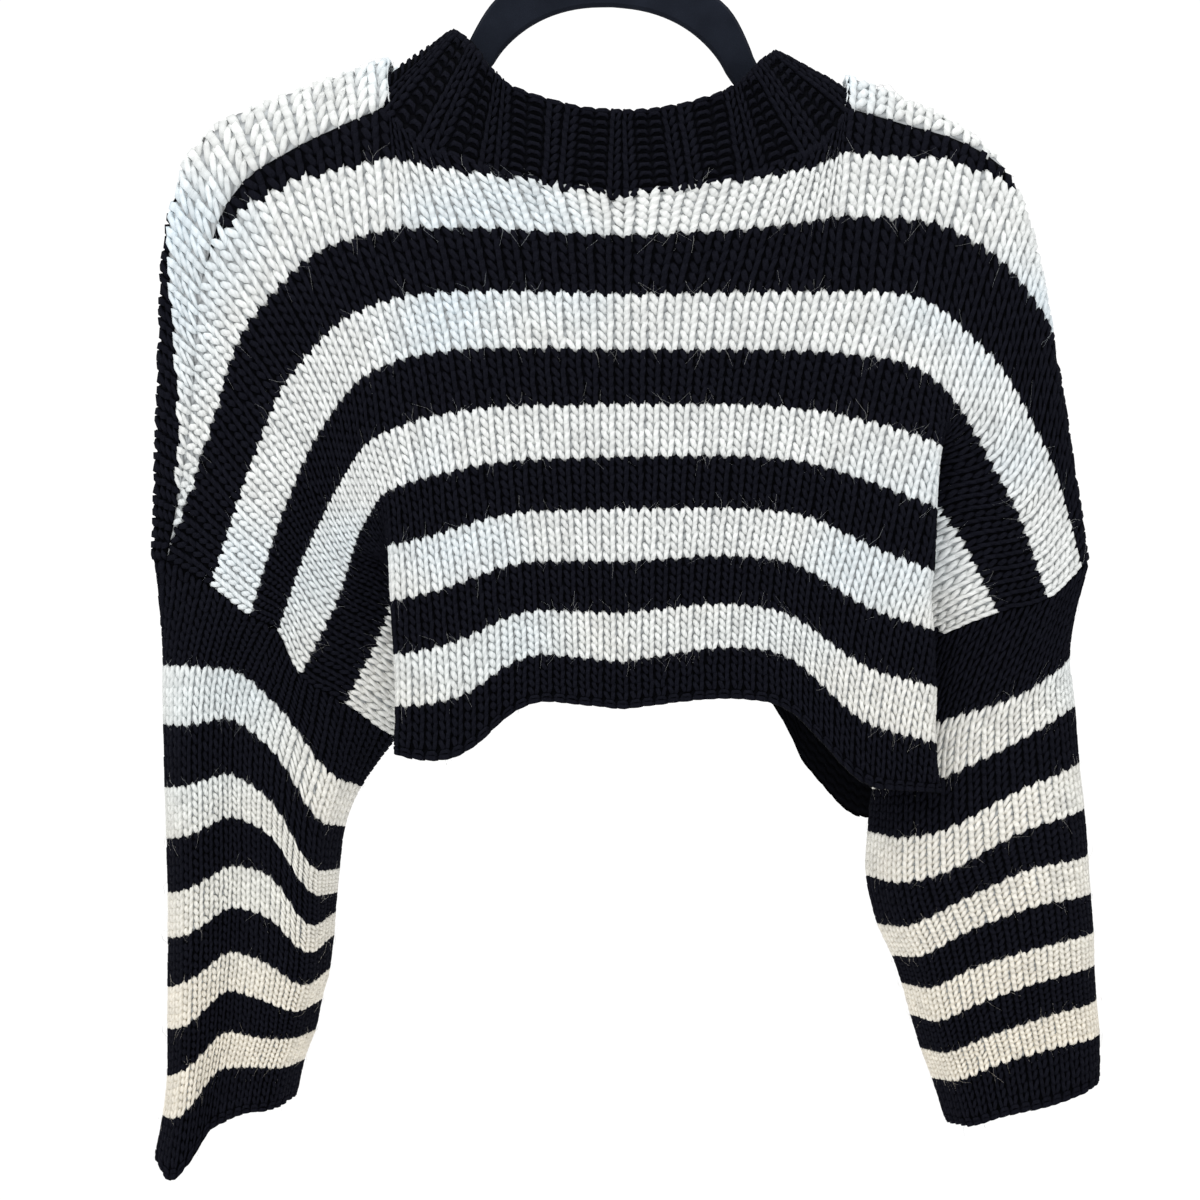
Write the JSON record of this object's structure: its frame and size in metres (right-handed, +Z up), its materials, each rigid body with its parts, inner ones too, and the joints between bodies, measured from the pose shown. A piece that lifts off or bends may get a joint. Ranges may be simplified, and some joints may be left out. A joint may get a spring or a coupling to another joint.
{
  "type": "cropped knit sweater on a hanger",
  "caption": "Cropped, striped, hand-knit style sweater with drop shoulders, wide sleeves and a ribbed collar, hanging over a slim flocked hanger with a wire hook.",
  "frame": {"origin": "the point under the top of the hook's bend, where a rail carries it", "axes": "+Z up; +Y out of the front of the sweater, so its back faces -Y; +X to the right as seen from behind, which is the sleeve that hangs on the right in a view along +Y"},
  "size_m": [0.5302, 0.0879, 0.7363],
  "materials": {
    "striped_yarn": "chunky wool-blend yarn knitted in stripes of black and off-white",
    "black_yarn": "chunky wool-blend yarn, black, matt and slightly fuzzy",
    "velvet": "short black flock over plastic",
    "steel": "bright plated wire"
  },
  "bodies": {
    "root": {"back_panel": "striped_yarn", "front_panel": "striped_yarn", "sleeve_left": "striped_yarn", "sleeve_right": "striped_yarn", "collar": "black_yarn", "hanger": "velvet", "hanger_hook": "steel"}
  },
  "joints": []
}
